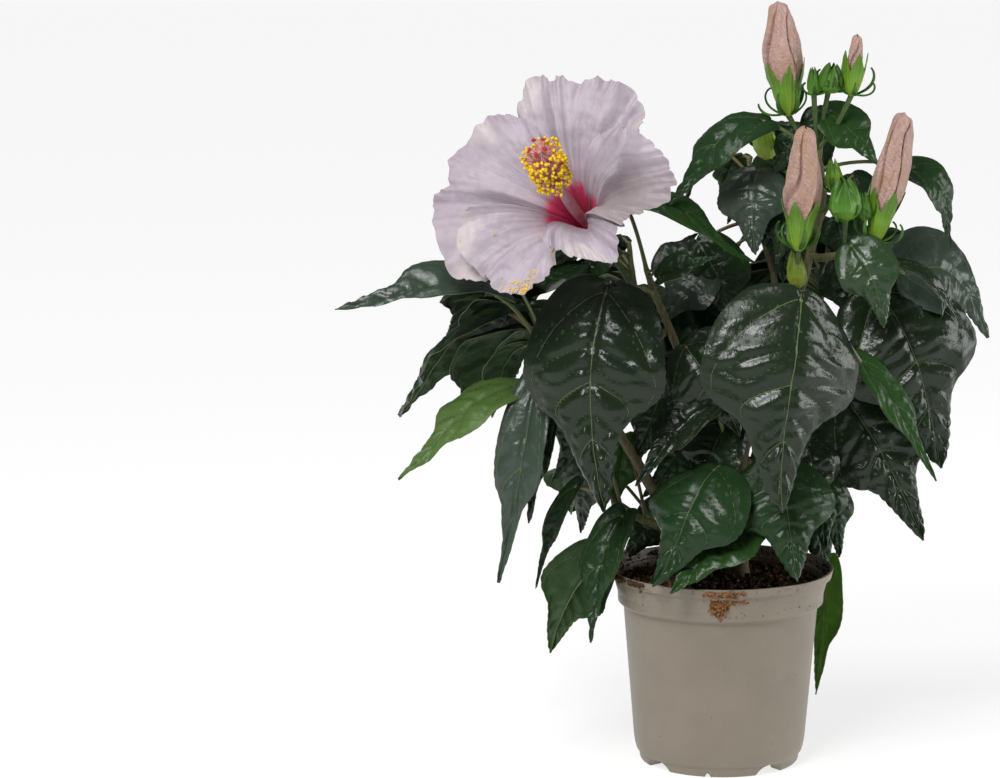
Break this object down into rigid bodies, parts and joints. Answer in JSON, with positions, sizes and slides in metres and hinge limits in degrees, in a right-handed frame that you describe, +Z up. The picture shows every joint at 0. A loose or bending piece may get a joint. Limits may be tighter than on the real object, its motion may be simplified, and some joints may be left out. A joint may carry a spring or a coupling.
{
  "type": "potted hibiscus shrub",
  "caption": "Young flowering hibiscus shrub in a round nursery pot: branching stems, glossy toothed leaves, furled buds and one open pale flower with a long stamen column.",
  "frame": {"origin": "centre of the pot's flat underside", "axes": "+Z up the pot's axis, -Y towards the plant's front, where the flower opens, +X to the right as seen from the front"},
  "size_m": [0.3636, 0.2882, 0.4383],
  "materials": {
    "pot": "satin",
    "peat": "crumbly, matt",
    "bark": "smooth young bark",
    "leaf": "glossy, quilted",
    "bud": "soft satin",
    "petal": "matt, finely veined"
  },
  "bodies": {
    "root": {"pot": "pot", "soil": "peat", "trunk": "bark", "stem_left": "bark", "bough_flower": "bark", "bough_top": "bark", "bough_right": "bark", "bough_low_right": "bark", "bough_front": "bark", "bough_back_left": "bark", "bough_back_right": "bark", "bough_back_top": "bark", "foliage_front": "leaf", "foliage_flower": "leaf", "foliage_left": "leaf", "foliage_low_left": "leaf", "foliage_low_front": "leaf", "foliage_right": "leaf", "foliage_low_right": "leaf", "foliage_crown": "leaf", "foliage_back_left": "leaf", "foliage_back_right": "leaf", "foliage_back_top": "leaf", "buds_front": "bud", "buds_right": "bud", "flower": "petal"}
  },
  "joints": []
}
